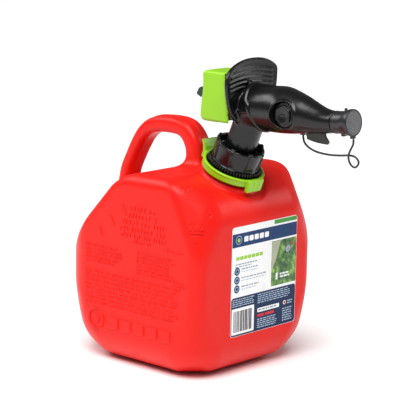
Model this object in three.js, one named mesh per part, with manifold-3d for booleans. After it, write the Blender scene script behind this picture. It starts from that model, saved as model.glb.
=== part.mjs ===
// One-gallon fuel can: a hollow blow-moulded tank with a handle loop, and a swivelling self-closing spout
// on a threaded collar. Millimetres. +X is the front, +Z is up, and the origin is the centre of the tank's base.
import * as THREE from "three";
import { mergeVertices } from "three/addons/utils/BufferGeometryUtils.js";
import Module from "manifold-3d";

const wasm = await Module();
wasm.setup();

// ---- Driving dimensions ----
const GAP = 0.3; // between pieces that touch
const TANK_FRONT = 85;
const TANK_BACK = -95;
const TANK_HALF_WIDTH = 84;
const DECK_Z = 190;
const WALL = 2;
const BASE_RADIUS = 35; // roll from the base into the walls
const DECK_RADIUS = 14; // roll from the deck into the sides
const FRONT_CORNER_RADIUS = 14;
const BACK_CORNER_RADIUS = 32;

const HANDLE_WIDTH = 24;
const HANDLE_DEPTH = 16;

const NECK_TILT = THREE.MathUtils.degToRad(22.5);
const NECK_ORIGIN = new THREE.Vector3(51, 0, 193); // on the neck's axis, at the middle of the lock ring
const NECK_BORE = 16.5;
const NECK_RADIUS = 19.4;
const NECK_RIM = 7.9; // heights along the neck axis are measured from NECK_ORIGIN
const BOSS_RADIUS = 28.4;
const DISH_RADIUS = 34; // the deck is dished round the boss, so that the lock ring can slide down
const DISH_FLOOR = -11.5;
const THREAD_PITCH = 5;
const THREAD_DEPTH = 1.5;
const THREAD_TURNS = 1.1;

const COLLAR_RADIUS = 23.6;
const COLLAR_BORE = 21.7;
const COLLAR_TOP = 26.3;
const SKIRT_RADIUS = 26.6;
const RING_BORE = 27.6;
const RING_RADIUS = 29.9;
const RING_HEIGHT = 7.4;

const TUBE_RADIUS = 15; // lower tube of the spout
const ROD_Z = 252.4; // the valve rod's axis runs along X at this height
const ROD_RADIUS = 2.5;
const TRIGGER_BACK = 24;
const TRIGGER_FRONT = 59.5; // at the bottom; the front edge leans back towards the top
const TRIGGER_LEAN = 6;
const TRIGGER_HALF_WIDTH = 17.5;
const TRIGGER_BOTTOM = 237.5;
const TRIGGER_TOP = 286;
const TRIGGER_WALL = 1.8;
const FLANGE_X = 69;
const NOZZLE_TILT = THREE.MathUtils.degToRad(5.5);
const CAP_START = 174.4;
const CAP_END = 194.3;
const CAP_Z = 251.9; // nozzle axis height at CAP_START
const LABEL = { left: -37.5, right: 57, bottom: 39, top: 145, thickness: 0.3 };

// ---- Solids from three.js geometry ----
function solid(geometry, matrix) {
  const bare = new THREE.BufferGeometry();
  const source = geometry.index ? geometry.toNonIndexed() : geometry;
  bare.setAttribute("position", source.getAttribute("position").clone());
  if (matrix) bare.applyMatrix4(matrix);
  const merged = mergeVertices(bare, 1e-4);
  return new wasm.Manifold(
    new wasm.Mesh({
      numProp: 3,
      vertProperties: new Float32Array(merged.attributes.position.array),
      triVerts: new Uint32Array(merged.index.array),
    }),
  );
}

function mesh(name, body, colour, roughness = 0.5, metalness = 0) {
  const data = body.getMesh();
  const geometry = new THREE.BufferGeometry();
  geometry.setAttribute("position", new THREE.BufferAttribute(new Float32Array(data.vertProperties), 3));
  geometry.setIndex(new THREE.BufferAttribute(new Uint32Array(data.triVerts), 1));
  geometry.computeVertexNormals();
  const made = new THREE.Mesh(geometry, new THREE.MeshStandardMaterial({ color: colour, roughness, metalness }));
  made.name = name;
  return made;
}

const union = (parts) => parts.reduce((sum, part) => sum.add(part));

function shapeOf(points) {
  return new THREE.Shape(points.map(([x, y]) => new THREE.Vector2(x, y)));
}

// Rounds the corners of a closed outline given as [x, y, radius] corners.
function roundedShape(corners, steps = 5) {
  const shape = [];
  corners.forEach(([x, y, radius = 0], i) => {
    const here = new THREE.Vector2(x, y);
    const last = corners[(i + corners.length - 1) % corners.length];
    const next = corners[(i + 1) % corners.length];
    if (radius <= 0) {
      shape.push([x, y]);
      return;
    }
    const a = new THREE.Vector2(last[0] - x, last[1] - y).normalize();
    const b = new THREE.Vector2(next[0] - x, next[1] - y).normalize();
    const half = Math.acos(THREE.MathUtils.clamp(a.dot(b), -1, 1)) / 2;
    const reach = radius / Math.tan(half);
    const centre = here.clone().add(a.clone().add(b).normalize().multiplyScalar(radius / Math.sin(half)));
    const from = here.clone().add(a.multiplyScalar(reach)).sub(centre);
    const to = here.clone().add(b.multiplyScalar(reach)).sub(centre);
    const start = Math.atan2(from.y, from.x);
    let sweep = Math.atan2(to.y, to.x) - start;
    if (sweep > Math.PI) sweep -= 2 * Math.PI;
    if (sweep < -Math.PI) sweep += 2 * Math.PI;
    for (let k = 0; k <= steps; k++) {
      const angle = start + (sweep * k) / steps;
      shape.push([centre.x + radius * Math.cos(angle), centre.y + radius * Math.sin(angle)]);
    }
  });
  return shapeOf(shape);
}

// An outline in the XZ plane, extruded from y = from to y = to.
function extrudeXZ(shape, from, to) {
  const geometry = new THREE.ExtrudeGeometry(shape, { depth: to - from, bevelEnabled: false, curveSegments: 8 });
  const turn = new THREE.Matrix4().makeBasis(
    new THREE.Vector3(1, 0, 0),
    new THREE.Vector3(0, 0, 1),
    new THREE.Vector3(0, -1, 0),
  );
  return solid(geometry, turn.setPosition(0, to, 0));
}

// An outline in the YZ plane, extruded from x = from to x = to.
function extrudeYZ(shape, from, to) {
  const geometry = new THREE.ExtrudeGeometry(shape, { depth: to - from, bevelEnabled: false, curveSegments: 8 });
  const turn = new THREE.Matrix4().makeBasis(
    new THREE.Vector3(0, 1, 0),
    new THREE.Vector3(0, 0, 1),
    new THREE.Vector3(1, 0, 0),
  );
  return solid(geometry, turn.setPosition(from, 0, 0));
}

// An outline in the XY plane, extruded from z = from to z = to.
function extrudeXY(shape, from, to) {
  const geometry = new THREE.ExtrudeGeometry(shape, { depth: to - from, bevelEnabled: false, curveSegments: 8 });
  return solid(geometry, new THREE.Matrix4().makeTranslation(0, 0, from));
}

function box(low, high) {
  const size = high.map((value, i) => value - low[i]);
  const middle = high.map((value, i) => (value + low[i]) / 2);
  return solid(new THREE.BoxGeometry(...size), new THREE.Matrix4().makeTranslation(...middle));
}

// A closed skin over rings of points, each ring listed anticlockwise as seen from the last ring.
function loft(rings) {
  const count = rings[0].length;
  const points = rings.flat();
  const faces = [];
  for (let r = 0; r < rings.length - 1; r++) {
    for (let k = 0; k < count; k++) {
      const a = r * count + k;
      const b = r * count + ((k + 1) % count);
      faces.push([a, b, b + count], [a, b + count, a + count]);
    }
  }
  const last = (rings.length - 1) * count;
  for (let k = 1; k < count - 1; k++) {
    faces.push([0, k + 1, k], [last, last + k, last + k + 1]);
  }
  const positions = faces.flat().flatMap((index) => points[index]);
  const geometry = new THREE.BufferGeometry();
  geometry.setAttribute("position", new THREE.Float32BufferAttribute(positions, 3));
  return solid(geometry);
}

// A round bar along X through stations of x, height z and radius.
function roundLoft(stations, sides = 32) {
  return loft(
    stations.map(({ x, z, r }) =>
      Array.from({ length: sides }, (_, k) => {
        const angle = (2 * Math.PI * k) / sides;
        return [x, r * Math.cos(angle), z + r * Math.sin(angle)];
      }),
    ),
  );
}

// A turned solid about Z from [radius, height] points of a closed half section.
function lathe(profile, segments = 40) {
  const points = [...profile, profile[0]].map(([r, z]) => new THREE.Vector2(r, z));
  const turned = new THREE.LatheGeometry(points, segments);
  return upright(turned);
}

// LatheGeometry turns about Y; this stands it on Z and turns its faces outward.
function upright(geometry) {
  const made = solid(geometry, new THREE.Matrix4().makeRotationX(Math.PI / 2));
  return made.volume() < 0 ? flipped(geometry) : made;
}

function flipped(geometry) {
  const flat = geometry.index ? geometry.toNonIndexed() : geometry.clone();
  const p = flat.getAttribute("position");
  for (let i = 0; i < p.count; i += 3) {
    const [x, y, z] = [p.getX(i), p.getY(i), p.getZ(i)];
    p.setXYZ(i, p.getX(i + 1), p.getY(i + 1), p.getZ(i + 1));
    p.setXYZ(i + 1, x, y, z);
  }
  return solid(flat, new THREE.Matrix4().makeRotationX(Math.PI / 2));
}

// A pipe section between two heights.
const pipe = (inner, outer, low, high, segments) =>
  lathe([[inner, low], [outer, low], [outer, high], [inner, high]], segments);

const disc = (radius, low, high, segments) =>
  lathe([[0, low], [radius, low], [radius, high], [0, high]], segments);

// A bar of the given section along a curve through the points.
function sweep(section, points, steps) {
  const path = new THREE.CatmullRomCurve3(points.map((p) => new THREE.Vector3(...p)), false, "centripetal");
  return solid(new THREE.ExtrudeGeometry(section, { steps, extrudePath: path, bevelEnabled: false }));
}

function roundSection(radius, sides) {
  return shapeOf(
    Array.from({ length: sides }, (_, k) => {
      const angle = (2 * Math.PI * k) / sides;
      return [radius * Math.cos(angle), radius * Math.sin(angle)];
    }),
  );
}

function rectSection(width, depth, radius) {
  const [w, d] = [width / 2, depth / 2];
  return roundedShape([[-w, -d, radius], [w, -d, radius], [w, d, radius], [-w, d, radius]], 2);
}

// A screw thread about Z: side is +1 for a thread that stands out of the radius, -1 for one that stands in.
function thread(radius, side, low, startAngle) {
  const steps = Math.round(THREAD_TURNS * 36);
  const rings = [];
  for (let s = 0; s <= steps; s++) {
    const turn = (s / steps) * THREAD_TURNS;
    const angle = startAngle + turn * 2 * Math.PI;
    const z = low + turn * THREAD_PITCH;
    const root = radius - side * 0.6;
    const crest = radius + side * THREAD_DEPTH;
    const corners = [[root, -1], [crest, -0.5], [crest, 0.5], [root, 1]];
    rings.push(corners.map(([r, dz]) => [r * Math.cos(angle), r * Math.sin(angle), z + dz]));
  }
  const made = loft(rings);
  return made.volume() < 0 ? loft(rings.map((ring) => [...ring].reverse())) : made;
}

const NECK_FRAME = new THREE.Matrix4()
  .makeRotationY(NECK_TILT)
  .setPosition(NECK_ORIGIN);

const onNeck = (body) => body.transform(NECK_FRAME.elements);

// ---- Tank ----
// The tank's outer form, moved inward by inset for the hollow inside it.
function tankForm(inset) {
  const front = TANK_FRONT - inset;
  const back = TANK_BACK + inset;
  const side = TANK_HALF_WIDTH - inset;
  const deck = DECK_Z - inset;
  const base = inset;
  const roll = BASE_RADIUS - inset;
  const slant = inset * 0.41; // a sloped wall keeps its thickness where it meets a flat one
  const plan = roundedShape([
    [back, -side, BACK_CORNER_RADIUS - inset],
    [front, -side, FRONT_CORNER_RADIUS - inset],
    [front, side, FRONT_CORNER_RADIUS - inset],
    [back, side, BACK_CORNER_RADIUS - inset],
  ]);
  const profile = roundedShape([
    [back, base, roll],
    [front, base, roll],
    [front, 162 - slant, 12],
    [54 - slant, deck + 1, 12],
    [-22 + slant, deck - 1, 16],
    [back, 110 - slant, 16],
  ]);
  const frontView = roundedShape([
    [-side, base, roll],
    [side, base, roll],
    [side, deck + 3, DECK_RADIUS],
    [-side, deck + 3, DECK_RADIUS],
  ]);
  const form = extrudeXY(plan, base - 1, deck + 5)
    .intersect(extrudeXZ(profile, -side - 1, side + 1))
    .intersect(extrudeYZ(frontView, back - 1, front + 1));
  return form.subtract(cornerCut(inset, 1)).subtract(cornerCut(inset, -1));
}

// The wedge that leaves the flat three-cornered facet at a front top corner.
function cornerCut(inset, side) {
  const outward = new THREE.Vector3(1 / 39.5, side / 42, 1 / 79).normalize();
  const onFacet = new THREE.Vector3(TANK_FRONT, side * TANK_HALF_WIDTH, 113);
  const middle = onFacet.addScaledVector(outward, 60 - inset);
  const turn = new THREE.Quaternion().setFromUnitVectors(new THREE.Vector3(0, 0, 1), outward);
  const place = new THREE.Matrix4().compose(middle, turn, new THREE.Vector3(1, 1, 1));
  return solid(new THREE.BoxGeometry(240, 240, 120), place);
}

const HANDLE_PATH = [
  [-88, 0, 112],
  [-88, 0, 140],
  [-87.3, 0, 156],
  [-83.6, 0, 175],
  [-77, 0, 189],
  [-62, 0, 213.6],
  [-52, 0, 221.6],
  [-40, 0, 225.5],
  [-14, 0, 226],
  [-4.5, 0, 222.5],
  [3.5, 0, 214],
  [7.2, 0, 203],
  [7.5, 0, 190],
  [7.5, 0, 180],
];

function handle(inset) {
  const section = rectSection(HANDLE_WIDTH - 2 * inset, HANDLE_DEPTH - 2 * inset, 5 - inset);
  return sweep(section, HANDLE_PATH, 30);
}

function dish(inset) {
  const floor = DISH_FLOOR - inset;
  return onNeck(lathe([[0, floor], [DISH_RADIUS + inset, floor], [DISH_RADIUS + 12 + inset, 14], [0, 14]]));
}

function tankShell() {
  const boss = onNeck(lathe([[0, -34], [42, -34], [38, -19], [BOSS_RADIUS, DISH_FLOOR], [BOSS_RADIUS, -7],
    [NECK_RADIUS, -7], [NECK_RADIUS, NECK_RIM], [0, NECK_RIM]]));
  const bossHollow = onNeck(lathe([[0, -36], [40, -36], [36, -20.5], [BOSS_RADIUS - WALL, DISH_FLOOR - 1],
    [BOSS_RADIUS - WALL, -9], [NECK_BORE, -9], [NECK_BORE, NECK_RIM + 1], [0, NECK_RIM + 1]]));
  const neckThread = onNeck(thread(NECK_RADIUS, 1, -1.5, 0));
  const outside = union([tankForm(0).subtract(dish(0)), handle(0), boss, neckThread]);
  const inside = union([tankForm(WALL).subtract(dish(WALL)), handle(WALL), bossHollow]);
  return outside.subtract(inside);
}

function frontLabel() {
  const { left, right, bottom, top, thickness } = LABEL;
  const outline = roundedShape([[left, bottom, 3], [right, bottom, 3], [right, top, 3], [left, top, 3]], 3);
  return extrudeYZ(outline, TANK_FRONT + 0.1, TANK_FRONT + 0.1 + thickness);
}

function flameArrestor() {
  const radius = 14.5;
  const basket = lathe([[0, -52], [radius, -52], [radius, -5], [16.1, -5], [16.1, -2.5], [13.2, -2.5],
    [13.2, -50.6], [0, -50.6]], 24);
  const slots = [];
  for (let row = 0; row < 3; row++) {
    for (let k = 0; k < 8; k++) {
      const slot = new THREE.BoxGeometry(8, 5, 10);
      const place = new THREE.Matrix4()
        .makeRotationZ((2 * Math.PI * (k + 0.5)) / 8)
        .multiply(new THREE.Matrix4().makeTranslation(radius, 0, -43 + row * 14));
      slots.push(solid(slot, place));
    }
  }
  return onNeck(basket.subtract(union(slots)));
}

// ---- Lock ring ----
function lockRing() {
  const half = RING_HEIGHT / 2;
  const band = pipe(RING_BORE, RING_RADIUS, -half, half, 48);
  const block = box([RING_RADIUS - 1, -11.5, -7.5], [RING_RADIUS + 3.4, 9, 5.5]);
  const grooves = [-4.5, 2].map((y) => box([RING_RADIUS + 2.6, y - 0.7, -9], [RING_RADIUS + 5, y + 0.7, 7]));
  const tab = extrudeXZ(
    shapeOf([[-28.6, -3.7], [-28.6, 3.7], [-33.5, 10.5], [-36.4, 13], [-37.6, 11.8], [-34.5, 8], [-32, 2], [-32, -3.7]]),
    -11.5,
    11.5,
  );
  return onNeck(union([band, block, tab]).subtract(union(grooves)));
}

// ---- Collar ----
function collar() {
  const shell = lathe([
    [COLLAR_BORE, -2.5],
    [SKIRT_RADIUS - 0.8, -2.5],
    [SKIRT_RADIUS - 0.8, 5.4],
    [COLLAR_RADIUS - 0.8, 6.4],
    [COLLAR_RADIUS, COLLAR_TOP - 1],
    [COLLAR_RADIUS - 1, COLLAR_TOP],
    [COLLAR_RADIUS - 2.2, COLLAR_TOP],
    [COLLAR_RADIUS - 2.6, 18.2],
    [16.2, 17.4],
    [16.2, 14.2],
    [COLLAR_BORE, 14.2],
  ], 48);
  const ribs = [];
  for (let k = 0; k < 8; k++) {
    const turn = new THREE.Matrix4().makeRotationZ((2 * Math.PI * (k + 0.5)) / 8);
    ribs.push(solid(
      new THREE.BoxGeometry(2.6, 3, 17),
      turn.clone().multiply(new THREE.Matrix4().makeTranslation(COLLAR_RADIUS, 0, 14.4)),
    ));
    ribs.push(solid(
      new THREE.BoxGeometry(2.4, 4, 2.4),
      turn.clone().multiply(new THREE.Matrix4().makeTranslation(COLLAR_RADIUS - 1.2, 0, COLLAR_TOP + 0.6)),
    ));
  }
  const teeth = [];
  const toothCount = 40;
  for (let k = 0; k < toothCount; k++) {
    const place = new THREE.Matrix4()
      .makeRotationZ((2 * Math.PI * k) / toothCount)
      .multiply(new THREE.Matrix4().makeTranslation(SKIRT_RADIUS - 1, 0, 1.6));
    teeth.push(solid(new THREE.BoxGeometry(1.6, 1.9, 7), place));
  }
  const innerThread = thread(COLLAR_BORE, -1, 1, 0);
  return onNeck(union([shell, ...ribs, ...teeth, innerThread]));
}

const neckGasket = () => onNeck(pipe(NECK_BORE + 0.2, NECK_RADIUS, NECK_RIM + GAP, NECK_RIM + GAP + 2, 36));

// ---- Spout ----
const ELBOW = [
  { x: 66.3, z: 254.6, r: 17.8 },
  { x: 84, z: 254.6, r: 17.8 },
];
const BARREL = [
  { x: 80, z: 255.2, r: 21.4 },
  { x: 81.5, z: 255.3, r: 22.8 },
  { x: 84, z: 255.4, r: 22.8 },
  { x: 86, z: 255.5, r: 21.7 },
  { x: 111, z: 256.1, r: 22 },
  { x: 118, z: 256, r: 21.5 },
  { x: 125, z: 255.4, r: 20.3 },
  { x: 132, z: 254.7, r: 18.6 },
  { x: 139, z: 254.1, r: 16.6 },
  { x: 145, z: 253.2, r: 14.8 },
  { x: 151, z: 252.4, r: 13.2 },
  { x: 160, z: 251.5, r: 11.2 },
  { x: 167, z: 251.6, r: 10.4 },
  { x: 173.4, z: 251.9, r: 10.3 },
];
const NOZZLE_TIP = [
  { x: 170, z: 251.6, r: 8.8 },
  { x: 185, z: 252.9, r: 8.8 },
];
const HOLLOW = [
  { x: 71, z: 254.6, r: 15.6 },
  { x: 84, z: 254.8, r: 15.6 },
  { x: 88, z: 255.5, r: 19.4 },
  { x: 111, z: 256.1, r: 19.8 },
  { x: 125, z: 255.4, r: 18.1 },
  { x: 132, z: 254.7, r: 16.3 },
  { x: 139, z: 254.1, r: 14.2 },
  { x: 145, z: 253.2, r: 12.3 },
  { x: 151, z: 252.5, r: 10.6 },
  { x: 160, z: 251.6, r: 8.6 },
  { x: 170, z: 251.7, r: 7.4 },
  { x: 186, z: 253, r: 7.4 },
];

// The grip behind the barrel: a shield-shaped shell, concave to the front, that the fingers pull on.
function fingerFlange() {
  const half = [[8, 239], [20, 243.5], [29, 253], [34.5, 268], [36.5, 283], [34, 291], [19, 297.5], [0, 299]];
  const mirrored = half.slice(0, -1).reverse().map(([y, z]) => [-y, z]);
  const plate = extrudeYZ(shapeOf([...half, ...mirrored]), FLANGE_X - 9, FLANGE_X + 16);
  const curve = 150; // radius of the flange's bend, seen from above
  const thickness = 3.2;
  const bend = (radius) => {
    const tall = disc(radius, 190, 330, 72);
    return tall.transform(new THREE.Matrix4().makeTranslation(FLANGE_X + curve, 0, 0).elements);
  };
  return plate.intersect(bend(curve + thickness).subtract(bend(curve)));
}

function spoutBody() {
  const tube = onNeck(disc(TUBE_RADIUS, 14.5, 62, 36));
  const foot = onNeck(disc(20.6, 10.8, 13.9, 36));
  const throat = onNeck(disc(TUBE_RADIUS, 13, 15, 36));
  const spigot = onNeck(disc(14.8, 2.5, 11.5, 36));
  const sealGroove = onNeck(pipe(14, 18, 4, 6.4, 36));
  const tubeHollow = onNeck(disc(12.6, 1, 66, 30));
  const guide = box([44.5, -15.2, 241.3], [68.4, 15.2, 283.7]);
  const guideHollow = box([44, -13.2, 243.3], [63.2, 13.2, 281.7]);
  const web = extrudeXZ(shapeOf([[66.3, 262], [84, 262], [84, 272], [74, 278], [66.3, 281]]), -6, 6);
  const barRound = (from, to, radius) =>
    roundLoft([{ x: from, z: ROD_Z, r: radius }, { x: to, z: ROD_Z, r: radius }], 20);
  const rodHole = barRound(62, 74, ROD_RADIUS + 0.4);
  const sealPocket = barRound(63, 66.8, 5.2);
  const recess = sideRecess(12.5, 14, 40);
  const hookSlot = box([138.6, -1.6, 230], [163.4, 1.6, 240.9]);
  const anchor = box([133.6, -2.2, 235.2], [138.2, 2.2, 240]);
  const solids = union([
    roundLoft(ELBOW), roundLoft(BARREL), roundLoft(NOZZLE_TIP), tube, foot, throat,
    spigot.subtract(sealGroove), guide, fingerFlange(), web, anchor,
  ]);
  const cuts = union([roundLoft(HOLLOW), tubeHollow, guideHollow, rodHole, sealPocket, recess, hookSlot]);
  const outerWall = sideRecess(14.5, 12, 22).intersect(roundLoft(BARREL));
  const recessWall = outerWall.subtract(sideRecess(12.5, 14, 40));
  return solids.subtract(cuts).add(recessWall);
}

// A round bar along Y at the side recess, from y = -to to y = -from.
function sideRecess(radius, from, to) {
  const place = new THREE.Matrix4().makeTranslation(125.5, 0, 254.4);
  const bar = disc(radius, from, to, 24);
  const turn = new THREE.Matrix4().makeRotationX(Math.PI / 2);
  return bar.transform(turn.elements).transform(place.elements);
}

function sidePlug() {
  const head = sideRecess(9.6, 14.4, 18.4);
  const slot = box([124.7, -19, 250.6], [126.3, -17.6, 258.2]);
  return head.subtract(slot);
}

function nozzleHook() {
  const outline = shapeOf([[140, 240.5], [140.6, 233.6], [149.5, 230.9], [160, 230.3], [166, 231], [167, 232.6],
    [163, 237], [162.6, 240.5]]);
  return extrudeXZ(outline, -1.2, 1.2);
}

function alongX(profile, x, z, segments) {
  const turn = new THREE.Matrix4().makeRotationY(Math.PI / 2).setPosition(x, 0, z);
  return lathe(profile, segments).transform(turn.elements);
}

function rodGuide() {
  const hub = alongX([[0, 0], [5, 0], [5, 8], [0, 8]], 92, ROD_Z, 24);
  const rim = alongX([[17, 0], [18.9, 0], [18.9, 4], [17, 4]], 94, 255.6, 36);
  const insideRim = alongX([[0, 0], [17.5, 0], [17.5, 4], [0, 4]], 94, 255.6, 36);
  const spokes = [0, 1, 2].map((k) => {
    const reach = new THREE.Matrix4()
      .makeTranslation(96, 0, ROD_Z)
      .multiply(new THREE.Matrix4().makeRotationX((2 * Math.PI * k) / 3))
      .multiply(new THREE.Matrix4().makeTranslation(0, 0, 13));
    return solid(new THREE.BoxGeometry(3, 2, 24), reach);
  });
  const rodHole = alongX([[0, -1], [3, -1], [3, 9], [0, 9]], 92, ROD_Z, 24);
  return union([hub, rim, union(spokes).intersect(insideRim)]).subtract(rodHole);
}

function valveRod() {
  const shank = alongX([[0, 0], [ROD_RADIUS, 0], [ROD_RADIUS, 121], [0, 121]], 32, ROD_Z, 16);
  const collarDisc = alongX([[0, 0], [5, 0], [5, 2.2], [0, 2.2]], 30.3, ROD_Z, 20);
  return shank.add(collarDisc);
}

const VENT_Z = 245.3; // the vent tube runs along the bottom of the nozzle
const valveSeal = () => alongX([[2.6, 0], [5.4, 0], [5.4, 1.6], [2.6, 1.6]], 153.7, ROD_Z, 24);
const valveHead = () =>
  alongX([[0, -0.3], [2.3, -0.3], [2.3, 2], [5.6, 2], [5.6, 4], [3, 9.5], [0, 9.5]], 153.7, ROD_Z, 24);

function valveSeat() {
  const ring = alongX([[4.2, 0], [9.3, 0], [8.9, 2.2], [4.2, 2.2]], 151.2, 252, 28);
  const ventHole = alongX([[0, -1], [1.6, -1], [1.6, 3], [0, 3]], 151.2, VENT_Z, 16);
  return ring.subtract(ventHole);
}

const rodSeal = () => alongX([[ROD_RADIUS + 0.2, 0], [4.9, 0], [4.9, 3], [ROD_RADIUS + 0.2, 3]], 63.5, ROD_Z, 20);
const swivelSeal = () => onNeck(lathe([[14.3, 4.5], [15.8, 4.3], [16.2, 5.2], [15.8, 6.1], [14.3, 5.9]], 36));

function returnSpring() {
  const turns = 6.5;
  const coil = 7.2;
  const start = 33.2;
  const length = 28.8;
  const points = [];
  const perTurn = 12;
  for (let k = 0; k <= turns * perTurn; k++) {
    const angle = (2 * Math.PI * k) / perTurn;
    const x = start + (length * k) / (turns * perTurn);
    points.push([x, coil * Math.cos(angle), ROD_Z + coil * Math.sin(angle)]);
  }
  return sweep(roundSection(0.75, 6), points, turns * perTurn);
}

function ventTube() {
  const points = [
    [164, 0, VENT_Z],
    [156, 0, VENT_Z],
    [148, 0, VENT_Z],
    [134, 0, 243.6],
    [116, 0, 242.2],
    [98, 0, 242],
    [88, 0, 241.4],
    [81.5, 0, 239.4],
    [77, 0, 233],
    [66, 0, 208],
    [57.6, 0, 188],
    [49, 0, 166],
  ];
  const outer = sweep(roundSection(1.2, 8), points, 40);
  const ends = [[165, 0, VENT_Z], ...points, [48.6, 0, 165]];
  const inner = sweep(roundSection(0.7, 6), ends, 42);
  return outer.subtract(inner);
}

// ---- Trigger ----
function triggerButton() {
  const [back, front] = [TRIGGER_BACK, TRIGGER_FRONT];
  const outline = roundedShape([
    [back, TRIGGER_BOTTOM, 5],
    [front, TRIGGER_BOTTOM, 1],
    [front - TRIGGER_LEAN, TRIGGER_TOP, 1],
    [back + 1, TRIGGER_TOP, 6],
    [back + 2, (TRIGGER_TOP + TRIGGER_BOTTOM) / 2, 30],
  ]);
  const view = roundedShape([
    [-TRIGGER_HALF_WIDTH, TRIGGER_BOTTOM - 1, 4],
    [TRIGGER_HALF_WIDTH, TRIGGER_BOTTOM - 1, 4],
    [TRIGGER_HALF_WIDTH, TRIGGER_TOP + 0.2, 4],
    [-TRIGGER_HALF_WIDTH, TRIGGER_TOP + 0.2, 4],
  ]);
  const block = extrudeXZ(outline, -TRIGGER_HALF_WIDTH, TRIGGER_HALF_WIDTH)
    .intersect(extrudeYZ(view, back - 1, front + 1));
  const inside = TRIGGER_HALF_WIDTH - TRIGGER_WALL;
  const hollow = box([back + 6, -inside, TRIGGER_BOTTOM + TRIGGER_WALL], [front + 2, inside, TRIGGER_TOP - TRIGGER_WALL]);
  const latchSlot = box([back - 2, -12, 255], [back + 8, 12, 270.6]);
  const tubeNotch = box([44, -inside, TRIGGER_BOTTOM - 2], [front + 2, inside, TRIGGER_BOTTOM + TRIGGER_WALL + 1]);
  return block.subtract(union([hollow, latchSlot, tubeNotch]));
}

const LATCH_PIVOT = [32, 265];

function safetyLatch() {
  const outline = shapeOf([[10.2, 262], [17, 268.8], [28, 269], [35, 268], [35, 262], [29.5, 259.5], [17, 258.4]]);
  const wedge = extrudeXZ(outline, -11, 11);
  const pinHole = sideBar(1.9, -13, 13);
  const rodRoom = box([28.6, -13, 250], [40, 13, 260.5]);
  return wedge.subtract(pinHole).subtract(rodRoom);
}

// A round bar along Y through the latch pivot.
function sideBar(radius, from, to) {
  const turn = new THREE.Matrix4().makeRotationX(Math.PI / 2).setPosition(LATCH_PIVOT[0], 0, LATCH_PIVOT[1]);
  return disc(radius, from, to, 18).transform(turn.elements);
}

const latchPin = () => sideBar(1.5, -15.4, 15.4);

// ---- Cap and tether ----
const CAP_FRAME = new THREE.Matrix4()
  .makeRotationY(Math.PI / 2 - NOZZLE_TILT)
  .setPosition(CAP_START, 0, CAP_Z);
const onCap = (body) => body.transform(CAP_FRAME.elements);

const CAP_LENGTH = (CAP_END - CAP_START) / Math.cos(NOZZLE_TILT);

function nozzleCap() {
  const shell = lathe([[9.2, 0], [10.3, 0], [10.5, CAP_LENGTH - 8], [12.6, CAP_LENGTH - 2], [12.6, CAP_LENGTH],
    [0, CAP_LENGTH], [0, CAP_LENGTH - 3], [9.2, CAP_LENGTH - 3]], 32);
  const nib = solid(new THREE.BoxGeometry(3.4, 4, 6), new THREE.Matrix4().makeTranslation(-11.6, 0, CAP_LENGTH - 8));
  const lug = solid(new THREE.BoxGeometry(3.4, 4.4, 4), new THREE.Matrix4().makeTranslation(13.2, 0, CAP_LENGTH - 2));
  return onCap(union([shell, nib, lug]));
}

const capLiner = () => onCap(disc(8.8, CAP_LENGTH - 4.6, CAP_LENGTH - 3.3, 24));

// The tether's centreline, from its anchor under the barrel to the lug on the cap.
const TETHER_ROUTE = [
  [136, 0, 234.8],
  [137.2, 0, 229.8],
  [141, 0, 226],
  [147.5, 0, 223.1],
  [155.8, 0, 221.5],
  [167.5, 0.1, 221.1],
  [179, 0.5, 221.9],
  [189.3, 1.2, 223.3],
  [195.6, 1.7, 222.5],
  [199.4, 1.8, 219.2],
  [199.2, 1.4, 215.6],
  [196.4, 0.5, 213.3],
  [192.9, -0.5, 215.2],
  [190.8, -1.4, 219.8],
  [190.8, -1.6, 224.6],
  [192.6, -1.1, 229.6],
  [194.4, -0.4, 234],
  [194.4, 0, 238.1],
];
const TETHER_RADIUS = 1;

function capTether() {
  return sweep(roundSection(TETHER_RADIUS, 8), TETHER_ROUTE, 44);
}

// ---- The object ----
const RED = 0xe8352a;
const GREEN = 0x9bd62a;
const BLACK = 0x2a2a2c;
const GREY = 0x6a6c6e;
const WHITE = 0xf2f2ee;
const STEEL = 0xb8bcc0;

const group = new THREE.Group();
group.name = "gallon_can";
group.add(
  mesh("tank_shell", tankShell(), RED, 0.42),
  mesh("front_label", frontLabel(), WHITE, 0.45),
  mesh("flame_arrestor", flameArrestor(), STEEL, 0.4, 0.8),
  mesh("lock_ring", lockRing(), GREEN, 0.45),
  mesh("collar", collar(), BLACK, 0.5),
  mesh("neck_gasket", neckGasket(), GREY, 0.8),
  mesh("spout_body", spoutBody(), BLACK, 0.35),
  mesh("side_plug", sidePlug(), BLACK, 0.6),
  mesh("nozzle_hook", nozzleHook(), BLACK, 0.5),
  mesh("swivel_seal", swivelSeal(), GREY, 0.8),
  mesh("rod_guide", rodGuide(), WHITE, 0.5),
  mesh("valve_seat", valveSeat(), WHITE, 0.5),
  mesh("rod_seal", rodSeal(), GREY, 0.8),
  mesh("vent_tube", ventTube(), WHITE, 0.5),
  mesh("return_spring", returnSpring(), STEEL, 0.3, 1),
  mesh("valve_rod", valveRod(), WHITE, 0.5),
  mesh("valve_head", valveHead(), WHITE, 0.5),
  mesh("valve_seal", valveSeal(), GREY, 0.8),
  mesh("trigger_button", triggerButton(), GREEN, 0.45),
  mesh("latch_pin", latchPin(), STEEL, 0.3, 1),
  mesh("safety_latch", safetyLatch(), BLACK, 0.5),
  mesh("nozzle_cap", nozzleCap(), GREY, 0.5),
  mesh("cap_liner", capLiner(), GREY, 0.8),
  mesh("cap_tether", capTether(), BLACK, 0.5),
);

export default group;
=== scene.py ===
import functools
import math

import bpy
import numpy as np
from mathutils import Matrix, Vector
from numpy import clip, hypot, interp, maximum, minimum


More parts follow.
